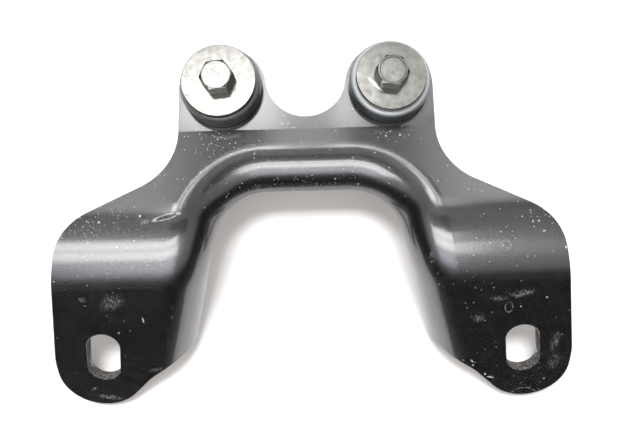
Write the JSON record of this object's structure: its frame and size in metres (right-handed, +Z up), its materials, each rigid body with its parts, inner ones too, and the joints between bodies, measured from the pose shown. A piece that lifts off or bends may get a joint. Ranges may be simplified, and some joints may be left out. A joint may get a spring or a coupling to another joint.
{
  "type": "fuel tank bracket",
  "caption": "Pressed steel motorbike fuel tank bracket with an arched cut-out, slotted legs and rubber-damped bolts in its ears.",
  "frame": {"origin": "centre of the bounding box's bottom, on the surface that the bracket lies on", "axes": "+X across the bracket from left to right, +Y from the legs to the ears, +Z up"},
  "size_m": [0.1848, 0.1281, 0.0356],
  "materials": {
    "satin_black_paint": "satin black paint on pressed steel, scuffed and dusty",
    "damper_rubber": "matte moulded rubber, dark blue-grey",
    "zinc_plated_steel": "zinc plated, dulled and scuffed",
    "blackened_steel": "blackened steel, semi-gloss, dulled and scuffed"
  },
  "bodies": {
    "root": {"bracket_plate": "satin_black_paint", "left_rubber_damper": "damper_rubber", "left_collar": "zinc_plated_steel", "left_washer": "blackened_steel", "left_bolt": "blackened_steel", "right_rubber_damper": "damper_rubber", "right_collar": "zinc_plated_steel", "right_washer": "blackened_steel", "right_bolt": "blackened_steel"}
  },
  "joints": []
}
